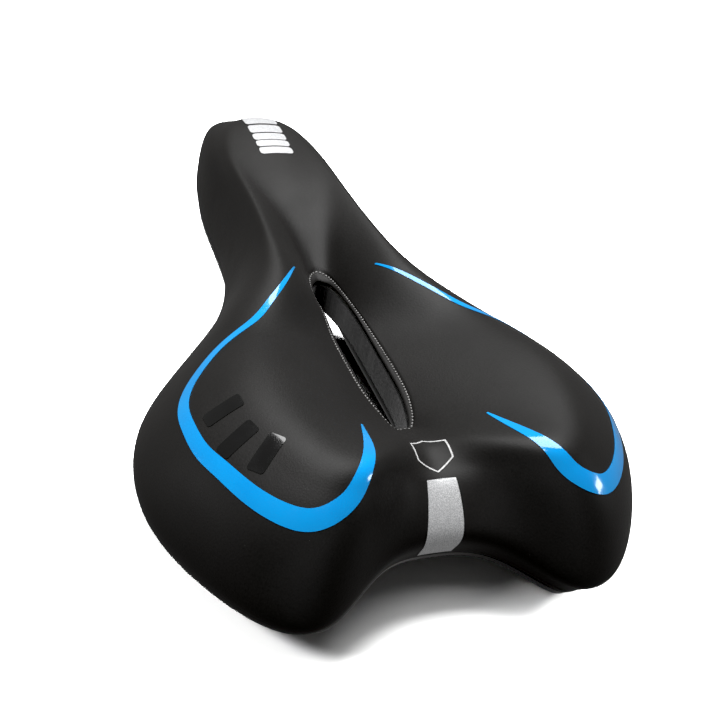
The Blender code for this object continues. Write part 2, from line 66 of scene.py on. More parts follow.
# The right half, as sections that run from the outline to the slot's seam.
# x, y, z of the widest line | hem inset, hem z | shoulder inset, z | crest share, z | seam x, y, z |
# share of the drop from crest to seam that is done halfway
STATIONS = np.array([
    (0, -117, 29, 5, 11.5, 8, 39.5, 0.55, 43.5, 0, -75, 36, 0.45),       # bridge between the wings
    (21, -122, 27, 5, 12.5, 8, 41, 0.46, 50, 2.2, -75, 36, 0.45),
    (41, -134.5, 20, 6, 6.5, 9, 42, 0.39, 57, 4, -70, 36.5, 0.45),       # wing, inner rear
    (60, -131.5, 19, 12, 1, 9, 41, 0.39, 58.5, 5.5, -62, 37, 0.45),
    (77, -109, 20, 10, 0, 8, 40.5, 0.44, 58.5, 6.3, -53, 37, 0.45),
    (87, -78, 21, 6, 1.5, 10, 39, 0.50, 56.5, 6.5, -40, 37, 0.45),       # wing, widest
    (80, -44, 24, 4, 6, 10, 36, 0.57, 52.5, 6.5, -24, 37, 0.45),
    (53, -9, 25, 3, 10.5, 7, 39.5, 0.58, 54.5, 5.8, -10, 37.5, 0.45),    # waist
    (33.5, 27, 26.5, 3, 13, 5, 42, 0.44, 56, 5.4, 1, 36.5, 0.42),
    (27.5, 67, 28.5, 3, 14.5, 5, 44, 0.35, 56, 4.6, 8, 36, 0.34),
    (26, 105, 29, 4, 16, 4, 45, 0.33, 55.5, 3.2, 12.5, 36, 0.27),
    (17, 131.5, 27, 5, 17, 4, 45.5, 0.29, 57, 1.6, 14.5, 36, 0.24),
    (0, 135.6, 26, 5, 17, 6, 44.5, 0.26, 58.5, 0, 15.5, 36, 0.25),       # nose tip
], float)
RING = 2 * (len(STATIONS) - 1)

# Right rail: centre line of its rear bend and of its nose bend; a straight stretch joins them.
REAR_BEND = (
    (30, -103, 24), (30, -94, 23.8), (29, -85, 21.4), (27, -75, 16), (24.8, -64.5, 9.6),
    (22.9, -54, 4.9), (RAIL_X, -43, RAIL_RADIUS), (RAIL_X, -33, RAIL_RADIUS),
)
NOSE_BEND = (
    (RAIL_X, 10, RAIL_RADIUS), (RAIL_X, 20, RAIL_RADIUS), (21.6, 30, 4.8), (20, 41, 8.6),
    (17.4, 52, 13.8), (14.3, 64, 19.2), (11.2, 76, 23.8), (8.8, 87, 26.5), (8, 97, 27),
    (8, 106, 27),
)

# Blue trim line of the right wing, as plan points and the film's width at each.
STRIPE = (
    (16.3, 2.5, 0.6), (24, -10, 1.6), (33, -21.3, 2.2), (42, -31.5, 2.7), (54, -40, 3.2),
    (63, -48, 3.8), (69.5, -56, 4.3), (73, -65, 4.6), (73.6, -75, 4.9), (72.5, -86, 5.2),
    (69.2, -96, 5.6), (64.5, -106.5, 6.0), (58, -116, 6.5), (50, -122.3, 6.7), (42, -122.8, 6.4),
    (35, -119, 5.6), (29, -110.5, 4.3), (25, -99.5, 2.6), (22.2, -88.5, 0.6),
)

# Nose bars from the nose back, as y and width; the gloss bars as x, y and angle.
NOSE_BARS = ((111.3, 10), (101.6, 6.6), (94.8, 5.2), (89.3, 4.6), (83.8, 4.8))
NOSE_BAR_LENGTH = 14.5
GLOSS_BARS = ((-64, -77, 5), (-63, -90.5, 18), (-57, -100, 38))
GLOSS_BAR_LENGTH = 11
GLOSS_BAR_WIDTH = 6
REAR_STRIP_WIDTH = 13
STRIP_SPAN = 21.7
MARK_RADIUS = 7
MARK_LINE = 0.55
MARK_Y = -97

# ---------------------------------------------------------------- sizes of the finer pieces

AROUND_STEPS = 16          # points between two stations
FILM_RISE = 0.04           # a film's underside over the cover
FILM_THICKNESS = 0.14
STITCH_ROW = 6.90
STITCH_PITCH = 1.45
STITCH_LENGTH = 0.95
STITCH_RADIUS = 0.30
GROOVE_DEPTH = 0.35
GROOVE_SPREAD = 0.035


# ---------------------------------------------------------------- curves and surfaces

def hermite(slopes, samples, closed):
    count = len(slopes)
    points = np.eye(count)
    rows = []
    for sample in samples:
        i = math.floor(sample)
        if not closed:
            i = min(i, count - 2)
        t = sample - i
        i, j = i % count, (i + 1) % count
        rows.append((2 * t**3 - 3 * t**2 + 1) * points[i] + (t**3 - 2 * t**2 + t) * slopes[i]
                    + (3 * t**2 - 2 * t**3) * points[j] + (t**3 - t**2) * slopes[j])
    return np.array(rows)


def ring_matrix(count, samples):
    """Weights that read a closed cubic spline through count points at the given samples."""
    left = np.zeros((count, count))
    right = np.zeros((count, count))
    for i in range(count):
        left[i, i] = 4
        left[i, i - 1] = left[i, (i + 1) % count] = 1
        right[i, (i + 1) % count] = 3
        right[i, i - 1] = -3
    return hermite(np.linalg.solve(left, right), samples, True)


def line_matrix(count, samples):
    """The same for an open spline with free ends."""
    left = np.zeros((count, count))
    right = np.zeros((count, count))
    left[0, :2] = 2, 1
    right[0, :2] = -3, 3
    left[-1, -2:] = 1, 2
    right[-1, -2:] = -3, 3
    for i in range(1, count - 1):
        left[i, i - 1:i + 2] = 1, 4, 1
        right[i, i - 1] = -3
        right[i, i + 1] = 3
    return hermite(np.linalg.solve(left, right), samples, False)


class Section:
    """One row of points, given by its inset from the outline and its height, all the way round."""

    def __init__(self):
        (self.x, self.y, self.bulge_z, self.hem_in, self.hem_z, self.shoulder_in, self.shoulder_z,
         share, self.crest_z, self.seam_x, self.seam_y, self.seam_z, fall) = STATIONS.T
        self.out = np.stack([self.x, self.y], 1)
        inward = np.stack([self.seam_x, self.seam_y], 1) - self.out
        self.length = np.linalg.norm(inward, axis=1)
        self.inward = inward / self.length[:, None]
        self.crest_in = share * self.length
        self.slope_in = self.crest_in + 0.55 * (self.length - self.crest_in)
        self.slope_z = self.crest_z + fall * (self.seam_z - self.crest_z)

    def edge_in(self, rise):
        """Inset of the outer side at a small height over the hem."""
        return self.hem_in * (1 - 0.7 * rise / (0.45 * (self.bulge_z - self.hem_z)))

    def row(self, inset, height):
        """The closed ring of points with that inset and height at each station."""
        inset = np.broadcast_to(inset, self.length.shape)
        height = np.broadcast_to(height, self.length.shape)
        half = np.column_stack([self.out + self.inward * inset[:, None], height])
        return np.concatenate([half, half[1:-1][::-1] * (-1, 1, 1)])


SECTION = Section()


def skin_rows():
    """The eight rows that the cover's outer surface passes through."""
    s = SECTION
    top_in = s.shoulder_in + 0.45 * (s.crest_in - s.shoulder_in)
    top_z = s.shoulder_z + 0.72 * (s.crest_z - s.shoulder_z)
    return np.stack([
        s.row(s.hem_in, s.hem_z),
        s.row(0.3 * s.hem_in, 0.55 * s.hem_z + 0.45 * s.bulge_z),
        s.row(0, s.bulge_z),
        s.row(s.shoulder_in, s.shoulder_z),
        s.row(top_in, top_z),
        s.row(s.crest_in, s.crest_z),
        s.row(s.slope_in, s.slope_z),
        s.row(s.length, s.seam_z),
    ], 1)


SKIN = skin_rows()


def skin_grid(around, across, depth=0.0):
    """Points at a depth under the cover's outer surface; depth may vary over the grid."""
    step = 0.02

    def read(us, vs):
        return np.einsum("ai,ijk,bj->abk", ring_matrix(RING, us), SKIN, line_matrix(8, vs))

    us, vs = np.asarray(around, float), np.asarray(across, float)
    along = read(us + step, vs) - read(us - step, vs)
    over = read(us, vs + step) - read(us, vs - step)
    normal = np.cross(along, over)
    normal /= np.linalg.norm(normal, axis=2, keepdims=True)
    depth = np.broadcast_to(depth, (len(us), len(vs)))
    return read(us, vs) - normal * depth[:, :, None]


def smooth_route(points, steps):
    points = np.asarray(points, float)
    samples = np.arange((len(points) - 1) * steps + 1) / steps
    return line_matrix(len(points), samples) @ points


AROUND = np.arange(RING * AROUND_STEPS) / AROUND_STEPS
READ = ring_matrix(RING, AROUND)


def spread(row):
    """A section row read at every fine point round the saddle."""
    return READ @ row


# ---------------------------------------------------------------- mesh making

def finish_piece(made, slot, *nodes):
    """Puts a piece on the saddle's one body and hides the CAD nodes it stands for; its slot is not used.
    """
    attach(made, "root")
    if nodes:
        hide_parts(*nodes)
    return made


def mesh_piece(name, points, faces, finish, smooth=True):
    """A named object from points in millimetres, with its faces turned outward."""
    mesh = bpy.data.meshes.new(name)
    mesh.from_pydata([tuple(float(c) * MM for c in p) for p in points], [], faces)
    mesh.validate()
    mesh.materials.append(finish)
    work = bmesh.new()
    work.from_mesh(mesh)
    bmesh.ops.recalc_face_normals(work, faces=work.faces)
    work.to_mesh(mesh)
    work.free()
    mesh.shade_smooth() if smooth else mesh.shade_flat()
    made = bpy.data.objects.new(name, mesh)
    bpy.context.scene.collection.objects.link(made)
    return made


def loft_faces(count, size, closed, first=0):
    faces = []
    for k in range(count if closed else count - 1):
        low, high = first + k * size, first + (k + 1) % count * size
        for i in range(size):
            j = (i + 1) % size
            faces.append((low + i, low + j, high + j, high + i))
    return faces


def loft(name, rings, finish, closed=True):
    """A body from rings of points: a closed tube of rings, or an open one with flat ends."""
    count, size = len(rings), len(rings[0])
    faces = loft_faces(count, size, closed)
    if not closed:
        faces.append(tuple(reversed(range(size))))
        faces.append(tuple((count - 1) * size + i for i in range(size)))
    return mesh_piece(name, np.concatenate(rings), faces, finish)


def plate_parts(top, bottom, first=0):
    """Points and faces of a plate between two equal grids of points."""
    rows, columns = top.shape[:2]
    points = np.concatenate([top.reshape(-1, 3), bottom.reshape(-1, 3)])
    under = rows * columns
    faces = []
    for i in range(rows - 1):
        for j in range(columns - 1):
            a, b = i * columns + j, (i + 1) * columns + j
            faces.append((a, b, b + 1, a + 1))
            faces.append((under + a, under + a + 1, under + b + 1, under + b))
    edge = list(range(columns))
    edge += [i * columns + columns - 1 for i in range(1, rows)]
    edge += [(rows - 1) * columns + j for j in reversed(range(columns - 1))]
    edge += [i * columns for i in reversed(range(1, rows - 1))]
    for a, b in zip(edge, edge[1:] + edge[:1]):
        faces.append((a, b, under + b, under + a))
    return points, [tuple(first + v for v in face) for face in faces]


def plate(name, top, bottom, finish):
    return mesh_piece(name, *plate_parts(top, bottom), finish)


def sharpen(made, degrees):
    """Keeps edges over an angle crisp in the shading."""
    made.data.set_sharp_from_angle(angle=math.radians(degrees))


def round_edges(made, width, segments=3, degrees=35):
    """Rounds a piece's edges, as a moulded or turned part has them."""
    change = made.modifiers.new("rounded_edges", "BEVEL")
    change.width = width * MM
    change.segments = segments
    change.limit_method = "ANGLE"
    change.angle_limit = math.radians(degrees)
    change.harden_normals = False


def tree_of(made):
    mesh = made.data
    return BVHTree.FromPolygons([v.co for v in mesh.vertices], [p.vertices for p in mesh.polygons])


# ---------------------------------------------------------------- materials

class Finish:
    """A procedural material: one Principled shader with helpers for its textures."""

    def __init__(self, name, colour, roughness, **sockets):
        self.material = bpy.data.materials.new(name)
        self.material.use_nodes = True
        self.tree = self.material.node_tree
        self.shader = self.tree.nodes["Principled BSDF"]
        self.shader.inputs["Base Color"].default_value = (*colour, 1)
        self.shader.inputs["Roughness"].default_value = roughness
        for key, value in sockets.items():
            self.shader.inputs[key.replace("_", " ")].default_value = value
        self.place = self.add("ShaderNodeTexCoord").outputs["Object"]
        self.height = None

    def add(self, kind, **values):
        node = self.tree.nodes.new(kind)
        for key, value in values.items():
            if hasattr(node, key):
                setattr(node, key, value)
            else:
                node.inputs[key.replace("_", " ")].default_value = value
        return node

    def link(self, source, target):
        self.tree.links.new(source, target)

    def stretched(self, scale, turn=(0, 0, 0)):
        """Object coordinates with a scale along each axis."""
        node = self.add("ShaderNodeMapping")
        node.inputs["Scale"].default_value = scale
        node.inputs["Rotation"].default_value = turn
        self.link(self.place, node.inputs["Vector"])
        return node.outputs["Vector"]

    def noise(self, size, detail=3.0, rough=0.5, place=None):
        """Smooth noise whose features are about size millimetres wide."""
        node = self.add("ShaderNodeTexNoise", Scale=1 / (size * MM), Detail=detail, Roughness=rough)
        self.link(place or self.place, node.inputs["Vector"])
        return node.outputs["Fac"]

    def cells(self, size, feature="F1", output="Distance", place=None):
        node = self.add("ShaderNodeTexVoronoi", feature=feature, Scale=1 / (size * MM))
        self.link(place or self.place, node.inputs["Vector"])
        return node.outputs[output]

    def waves(self, size, place=None, distortion=0.0):
        node = self.add("ShaderNodeTexWave", wave_type="BANDS", bands_direction="X",
                        Scale=0.314 / (size * MM), Distortion=distortion)
        self.link(place or self.place, node.inputs["Vector"])
        return node.outputs["Fac"]

    def ramp(self, source, low, high, from_value=0.0, to_value=1.0):
        node = self.add("ShaderNodeMapRange")
        node.inputs["From Min"].default_value = low
        node.inputs["From Max"].default_value = high
        node.inputs["To Min"].default_value = from_value
        node.inputs["To Max"].default_value = to_value
        self.link(source, node.inputs["Value"])
        return node.outputs["Result"]

    def maths(self, operation, first, second):
        node = self.add("ShaderNodeMath", operation=operation)
        for socket, value in zip(node.inputs, (first, second)):
            if isinstance(value, (int, float)):
                socket.default_value = value
            else:
                self.link(value, socket)
        return node.outputs["Value"]

    def mix(self, share, first, second):
        node = self.add("ShaderNodeMix", data_type="RGBA")
        self.link(share, node.inputs["Factor"])
        for socket, value in ((node.inputs[6], first), (node.inputs[7], second)):
            if isinstance(value, tuple):
                socket.default_value = (*value, 1)
            else:
                self.link(value, socket)
        return node.outputs[2]

    def colour(self, source):
        self.link(source, self.shader.inputs["Base Color"])

    def roughness(self, source):
        self.link(source, self.shader.inputs["Roughness"])

    def bump(self, source, depth, strength=1.0):
        """Adds a relief of that depth in millimetres; a later one lies on the earlier ones."""
        node = self.add("ShaderNodeBump", Strength=strength, Distance=depth * MM)
        self.link(source, node.inputs["Height"])
        if self.height:
            self.link(self.height, node.inputs["Normal"])
        self.height = node.outputs["Normal"]
        self.link(self.height, self.shader.inputs["Normal"])


def leather_finish():
    """Matt synthetic leather: fine pebble grain, soft tonal drift and a little dust."""
    f = Finish("cover_leather", (0.012, 0.012, 0.012), 0.5)
    f.shader.inputs["Specular IOR Level"].default_value = 0.22
    f.shader.inputs["Sheen Weight"].default_value = 0.02
    f.shader.inputs["Sheen Roughness"].default_value = 0.55
    f.shader.inputs["Sheen Tint"].default_value = (1.0, 0.97, 0.94, 1)
    drift = f.ramp(f.noise(38, 2), 0.3, 0.7)
    grain = f.cells(0.62, "SMOOTH_F1")
    pores = f.noise(0.35, 2)
    tone = f.mix(drift, (0.0105, 0.0100, 0.0095), (0.0145, 0.0138, 0.0132))
    tone = f.mix(f.ramp(grain, 0.1, 0.75, 0.0, 0.35), tone, (0.006, 0.006, 0.006))
    specks = f.ramp(f.cells(5.2), 0.022, 0.014)
    chosen = f.ramp(f.noise(9, 1), 0.57, 0.60)
    dust = f.maths("MULTIPLY", specks, chosen)
    f.colour(f.mix(dust, tone, (0.07, 0.068, 0.066)))
    rough = f.maths("ADD", f.ramp(f.noise(22, 3), 0.3, 0.7, 0.46, 0.54),
                    f.ramp(grain, 0.0, 0.8, 0.05, -0.03))
    f.roughness(rough)
    f.bump(f.noise(9, 2), 0.10, 0.5)
    f.bump(grain, 0.035, 0.8)
    f.bump(pores, 0.012, 0.6)
    return f.material


def lining_finish():
    """Knitted lining: fine ribs with loops across them, and painted shade in the hollows between the
    loops.
    """
    f = Finish("lining_fabric", (0.03, 0.03, 0.03), 0.9)
    f.shader.inputs["Sheen Weight"].default_value = 0.25
    f.shader.inputs["Sheen Roughness"].default_value = 0.5
    f.shader.inputs["Specular IOR Level"].default_value = 0.2
    courses = f.waves(0.55, f.stretched((1, 1, 1), (0, math.pi / 2, 0)))
    wales = f.waves(0.6, f.stretched((1, 1, 1), (0, 0, math.pi / 4)))
    knit = f.maths("MULTIPLY", courses, wales)
    # The knit's hollows, low in the relief, are painted darker than its loops: painted shade.
    tone = f.mix(f.ramp(knit, 0.0, 0.9), (0.008, 0.008, 0.0085), (0.026, 0.0255, 0.025))
    f.colour(f.mix(f.ramp(f.noise(6, 3), 0.35, 0.7, 0.0, 0.4), tone, (0.032, 0.031, 0.03)))
    f.roughness(f.ramp(f.noise(1.2, 2), 0.3, 0.7, 0.82, 0.95))
    f.bump(f.noise(3, 3), 0.12, 0.5)
    f.bump(knit, 0.12, 0.7)
    return f.material


def thread_finish():
    f = Finish("seam_thread", (0.4, 0.4, 0.4), 0.6)
    f.shader.inputs["Sheen Weight"].default_value = 0.3
    ply = f.waves(0.28, f.stretched((1, 1, 1), (0.6, 0.4, 0.8)))
    # The grooves between the plies, low in the relief, are painted darker than the plies: painted shade.
    tone = f.mix(f.ramp(ply, 0.2, 0.9), (0.20, 0.195, 0.19), (0.46, 0.455, 0.45))
    f.colour(f.mix(f.ramp(f.noise(14, 2), 0.35, 0.65, 0.0, 0.6), tone, (0.26, 0.255, 0.25)))
    f.roughness(f.ramp(f.noise(0.5, 2), 0.3, 0.7, 0.5, 0.75))
    f.bump(ply, 0.06, 0.8)
    return f.material


def foam_finish():
    """Open-cell polyurethane foam, with painted shade in the hollows between its cells."""
    f = Finish("foam", (0.3, 0.3, 0.29), 0.95)
    cell = f.cells(0.9, "SMOOTH_F1")
    # The hollows between the cells, low in the relief, are painted darker: painted shade.
    tone = f.mix(f.ramp(cell, 0.1, 0.7), (0.34, 0.335, 0.32), (0.16, 0.16, 0.155))
    f.colour(f.mix(f.ramp(f.noise(16, 3), 0.35, 0.7, 0.0, 0.5), tone, (0.30, 0.285, 0.25)))
    f.roughness(f.ramp(cell, 0.0, 0.8, 0.88, 1.0))
    f.bump(f.maths("MULTIPLY", cell, -1.0), 0.3, 0.8)
    return f.material


def gel_finish():
    """Clear blue gel with small bubbles."""
    f = Finish("gel", (0.2, 0.42, 0.6), 0.12)
    f.shader.inputs["Subsurface Weight"].default_value = 0.4
    f.shader.inputs["Subsurface Radius"].default_value = (0.002, 0.004, 0.006)
    bubbles = f.ramp(f.cells(2.4), 0.16, 0.10)
    tone = f.mix(f.ramp(f.noise(20, 2), 0.3, 0.7), (0.14, 0.36, 0.56), (0.22, 0.47, 0.66))
    f.colour(f.mix(bubbles, tone, (0.55, 0.72, 0.82)))
    f.roughness(f.ramp(f.noise(5, 2), 0.3, 0.7, 0.08, 0.2))
    f.bump(f.noise(7, 2), 0.25, 0.5)
    return f.material


def moulded_finish(name, low, high, rough_low, rough_high, texture, depth):
    """Black moulded plastic: tonal drift, a moulded texture and faint rubbing."""
    f = Finish(name, low, rough_high)
    drift = f.ramp(f.noise(26, 3), 0.3, 0.7)
    tone = f.mix(drift, low, high)
    worn = f.ramp(f.noise(5, 6, 0.7), 0.60, 0.72, 0.0, 0.5)
    f.colour(f.mix(worn, tone, tuple(2.2 * c for c in high)))
    spread_of = f.ramp(f.noise(8, 4), 0.3, 0.7, rough_low, rough_high)
    f.roughness(f.maths("ADD", spread_of, f.ramp(worn, 0.0, 0.5, 0.0, 0.08)))
    f.bump(f.noise(12, 2), 0.08, 0.4)
    f.bump(f.noise(texture, 3), depth, 0.6)
    return f.material


def steel_finish():
    """Satin black paint on the rails, rubbed brighter in fine lengthwise marks."""
    f = Finish("rail_paint", (0.015, 0.015, 0.015), 0.3)
    f.shader.inputs["Coat Weight"].default_value = 0.3
    f.shader.inputs["Coat Roughness"].default_value = 0.2
    marks = f.noise(1.0, 4, 0.7, f.stretched((1.6, 0.05, 1.6)))
    rubbed = f.ramp(marks, 0.62, 0.75, 0.0, 0.6)
    f.colour(f.mix(rubbed, (0.014, 0.014, 0.0145), (0.07, 0.07, 0.072)))
    f.roughness(f.maths("ADD", f.ramp(f.noise(6, 3), 0.3, 0.7, 0.24, 0.36),
                        f.ramp(rubbed, 0.0, 0.6, 0.0, 0.1)))
    f.bump(f.noise(1.6, 2), 0.02, 0.6)
    return f.material


def screw_finish():
    """Zinc-plated steel, slightly clouded."""
    f = Finish("zinc_screw", (0.5, 0.5, 0.48), 0.3, Metallic=1.0)
    cloud = f.ramp(f.noise(1.8, 4), 0.3, 0.7)
    f.colour(f.mix(cloud, (0.42, 0.42, 0.41), (0.60, 0.60, 0.57)))
    f.roughness(f.ramp(f.noise(0.8, 3), 0.3, 0.7, 0.22, 0.42))
    f.bump(f.noise(0.5, 2), 0.02, 0.5)
    return f.material


def gloss_film_finish(name, low, high, relief=0.02):
    """Glossy transfer film that takes a little of the leather's grain."""
    f = Finish(name, low, 0.12)
    f.shader.inputs["Coat Weight"].default_value = 1.0
    f.shader.inputs["Coat Roughness"].default_value = 0.06
    f.colour(f.mix(f.ramp(f.noise(14, 3), 0.3, 0.7), low, high))
    f.roughness(f.ramp(f.noise(4, 3), 0.3, 0.7, 0.10, 0.2))
    f.bump(f.noise(5, 2), 0.05, 0.4)
    f.bump(f.cells(0.62, "SMOOTH_F1"), relief, 0.6)
    return f.material


def reflective_finish():
    """Silver reflective film: glass beads that sparkle in a grey binder."""
    f = Finish("reflective_film", (0.6, 0.6, 0.62), 0.35)
    f.shader.inputs["Metallic"].default_value = 0.25
    f.shader.inputs["Coat Weight"].default_value = 0.25
    f.shader.inputs["Coat Roughness"].default_value = 0.25
    beads = f.cells(0.32, "F1")
    speck = f.ramp(f.noise(0.3, 2), 0.42, 0.62)
    tone = f.mix(speck, (0.42, 0.425, 0.435), (0.74, 0.745, 0.75))
    f.colour(f.mix(f.ramp(f.noise(7, 4), 0.4, 0.7, 0.0, 0.35), tone, (0.50, 0.505, 0.52)))
    f.roughness(f.ramp(beads, 0.0, 0.6, 0.28, 0.5))
    f.bump(beads, 0.05, 0.5)
    return f.material


def white_finish():
    f = Finish("white_print", (0.75, 0.75, 0.75), 0.45)
    thin = f.ramp(f.noise(0.5, 3), 0.35, 0.65)
    f.colour(f.mix(thin, (0.42, 0.42, 0.42), (0.72, 0.72, 0.72)))
    f.roughness(f.ramp(f.noise(1.5, 2), 0.3, 0.7, 0.35, 0.55))
    f.bump(f.cells(0.62, "SMOOTH_F1"), 0.02, 0.5)
    return f.material


# ---------------------------------------------------------------- cover, foam and gel

COVER_ROWS = np.concatenate([
    np.linspace(0.6, 6.5, 98), np.linspace(6.53, 6.98, 30),
])


def groove_depth(across):
    """How far the seam groove sinks the cover at each row."""
    return GROOVE_DEPTH * np.exp(-((across - STITCH_ROW) / GROOVE_SPREAD) ** 2)


def hem_rows():
    """The cover's lower edge: a rolled hem just over the base's rim."""
    s = SECTION
    first = skin_grid(AROUND, [COVER_ROWS[0]])[:, 0]
    rolled = []
    for inset, rise in ((1.0, 3.4), (1.0, 2.5), (0.75, 2.3), (0.35, 2.3), (0.08, 2.5), (0, 3.0)):
        rolled.append(spread(s.row(s.edge_in(rise) + inset, s.hem_z + rise)))
    middle = [rolled[-1] + (first - rolled[-1]) * share for share in (0.33, 0.66)]
    return rolled + middle


def build_cover(finish):
    outer = skin_grid(AROUND, COVER_ROWS, groove_depth(COVER_ROWS)[None, :])
    fold = []
    for across, depth in ((7.0, 0.12), (7.01, 0.45), (7.0, 0.8), (6.97, 1.0)):
        fold.append(skin_grid(AROUND, [across], depth)[:, 0])
    inner_rows = np.linspace(0.6, 6.88, 40)
    inner = skin_grid(AROUND, inner_rows, COVER_THICKNESS)
    rings = hem_rows()
    rings += [outer[:, k] for k in range(outer.shape[1])]
    rings += fold
    rings += [inner[:, k] for k in reversed(range(inner.shape[1]))]
    cover = loft("cover_skin", rings, finish)
    return finish_piece(cover, "cover", "cover")


def build_foam(finish):
    s = SECTION
    rows = np.linspace(0.6, 6.8, 40)
    side = np.minimum(AROUND, RING - AROUND)
    inside = np.clip((side - 2.4) * 5, 0, 1) * np.clip((6.1 - side) * 5, 0, 1)
    over = np.clip((rows - 3.9) * 5, 0, 1) * np.clip((6.1 - rows) * 5, 0, 1)
    depth = COVER_THICKNESS + GAP + np.outer(inside, over) * (GEL_THICKNESS + GAP)
    outer = skin_grid(AROUND, rows, depth)
    wall_in = s.length - LINING_THICKNESS - 2 * GAP
    wall = [s.row(wall_in, s.seam_z - drop) for drop in (2.2, 7.0, SLOT_WALL - 1.0)]
    back = []
    for (inset, height), (aside, up) in zip(base_top()[-2:2:-1], FOAM_CLEARANCE):
        back.append(s.row(inset + aside, height + up))
    foot = s.row(s.hem_in + FLANGE_WIDTH - 0.7, s.hem_z + RIM_HEIGHT + GAP)
    toe_in = s.edge_in(RIM_HEIGHT) + COVER_THICKNESS + 1.0
    toe = s.row(toe_in, s.hem_z + RIM_HEIGHT + GAP)
    rings = [outer[:, k] for k in range(outer.shape[1])]
    rings += [spread(row) for row in wall + back + [foot, toe]]
    foam = loft("foam_pad", rings, finish)
    return finish_piece(foam, "foam", "foam_cushion")


FOAM_CLEARANCE = [(0, GAP), (0, GAP), (-0.5, 0.4), (-0.5, 0.4)]


def build_gel(side, finish):
    """A gel pad in the foam's pocket, crowned so that its edges run out thin."""
    around = np.linspace(2.55, 5.95, 60)
    if side == "left":
        around = RING - around
    rows = np.linspace(4.05, 5.95, 32)
    edge_a = np.sin(np.linspace(0, math.pi, 60)) ** 0.35
    edge_b = np.sin(np.linspace(0, math.pi, 32)) ** 0.35
    thick = np.maximum(np.outer(edge_a, edge_b), 0.12) * GEL_THICKNESS
    depth = COVER_THICKNESS + GAP
    top = skin_grid(around, rows, depth)
    bottom = skin_grid(around, rows, depth + thick)
    gel = plate(f"gel_insert_{side}", top, bottom, finish)
    return finish_piece(gel, "gel", f"gel_pad_{side}")


# ---------------------------------------------------------------- base, slot lining and thread

def base_top():
    """Inset and height of the base's upper side, from the rim's foot to the slot."""
    s = SECTION
    wall_in = np.minimum(13.5, 0.8 * s.crest_in)
    return [
        (s.hem_in + 0.3, s.hem_z),
        (s.edge_in(RIM_HEIGHT) + 0.3, s.hem_z + RIM_HEIGHT),
        (s.hem_in + FLANGE_WIDTH, s.hem_z + RIM_HEIGHT),
        (wall_in, s.bulge_z),
        (wall_in + 0.3 * (s.crest_in - wall_in), s.shoulder_z - 9),
        (s.crest_in, s.crest_z - FOAM_DEPTH),
        (s.slope_in, s.slope_z - FOAM_DEPTH),
        (s.length - LINING_THICKNESS - GAP, s.seam_z - SLOT_WALL),
    ]


def base_under():
    """The same for its lower side, from the slot back to the rim's foot."""
    s = SECTION
    t = BASE_THICKNESS
    wall_in = np.minimum(13.5, 0.8 * s.crest_in)
    return [
        (s.length - LINING_THICKNESS - GAP, s.seam_z - SLOT_WALL - t),
        (s.slope_in, s.slope_z - FOAM_DEPTH - t),
        (s.crest_in, s.crest_z - FOAM_DEPTH - t),
        (wall_in + t + 0.3 * (s.crest_in - wall_in), s.shoulder_z - 9 - t),
        (wall_in + t, s.bulge_z - 1),
        (s.hem_in + FLANGE_WIDTH + t, s.hem_z + RIM_HEIGHT - 0.5),
        (s.hem_in + t + 0.5, s.hem_z),
    ]


def build_lining(finish):
    """The slot's fabric lining, softly quilted between the seam and its lower edge."""
    s = SECTION
    drops = np.linspace(1.7, SLOT_WALL + BASE_THICKNESS, 22)
    wave = 0.10 * np.sin(AROUND * 9.0) + 0.07 * np.sin(AROUND * 23.0)
    rings = []
    for face in (0, 1):
        rows = []
        for drop in drops:
            share = (drop - drops[0]) / (drops[-1] - drops[0])
            ring = spread(s.row(s.length - LINING_THICKNESS * face, s.seam_z - drop))
            centre = ring.mean(0) * (1, 1, 0)
            away = (ring - centre) * (1, 1, 0)
            away /= np.linalg.norm(away, axis=1, keepdims=True)
            swell = (wave * (1 - share) - 0.15) * math.sin(math.pi * share)
            rows.append(ring + away * swell[:, None])
        rings += rows if face == 0 else rows[::-1]
    lining = loft("slot_lining_fabric", rings, finish)
    return finish_piece(lining, "lining", "slot_lining")


def build_stitches(finish):
    """Lockstitches one by one in the groove round the slot."""
    fine = np.arange(RING * 60) / 60
    line = skin_grid(fine, [STITCH_ROW], GROOVE_DEPTH - 0.12)[:, 0]
    under = skin_grid(fine, [STITCH_ROW], GROOVE_DEPTH + 0.88)[:, 0]
    lengths = np.linalg.norm(np.roll(line, -1, 0) - line, axis=1)
    travelled = np.concatenate([[0], np.cumsum(lengths)])
    count = int(travelled[-1] // STITCH_PITCH)
    pitch = travelled[-1] / count
    points, faces = [], []
    for k in range(count):
        start = (k + 0.2) * pitch
        spots = start + np.linspace(0, STITCH_LENGTH, 7)
        index = np.searchsorted(travelled, spots % travelled[-1]) % len(line)
        route = line[index]
        up = line[index] - under[index]
        add_capsule(points, faces, route, up)
    thread = mesh_piece("slot_seam_stitches", points, faces, finish)
    return finish_piece(thread, "thread", "slot_stitching")


def add_capsule(points, faces, route, up):
    """One stitch: a short thread whose two ends dive into the cover."""
    sides = 8
    first = len(points)
    count = len(route)
    for k, centre in enumerate(route):
        share = k / (count - 1)
        swell = math.sqrt(max(0.06, math.sin(math.pi * share)))
        ahead = route[min(k + 1, count - 1)] - route[max(k - 1, 0)]
        ahead = ahead / max(np.linalg.norm(ahead), 1e-9)
        normal = up[k] - ahead * (up[k] @ ahead)
        normal /= np.linalg.norm(normal)
        side = np.cross(ahead, normal)
        sink = -0.28 * (1 - math.sin(math.pi * share))
        for j in range(sides):
            turn = 2 * math.pi * j / sides
            offset = math.cos(turn) * side + math.sin(turn) * normal
            points.append(centre + normal * sink + offset * STITCH_RADIUS * swell)
    for k in range(count - 1):
        for j in range(sides):
            a, b = first + k * sides + j, first + k * sides + (j + 1) % sides
            faces.append((a, b, b + sides, a + sides))
    faces.append(tuple(first + j for j in reversed(range(sides))))
    faces.append(tuple(first + (count - 1) * sides + j for j in range(sides)))


# ---------------------------------------------------------------- base and rails

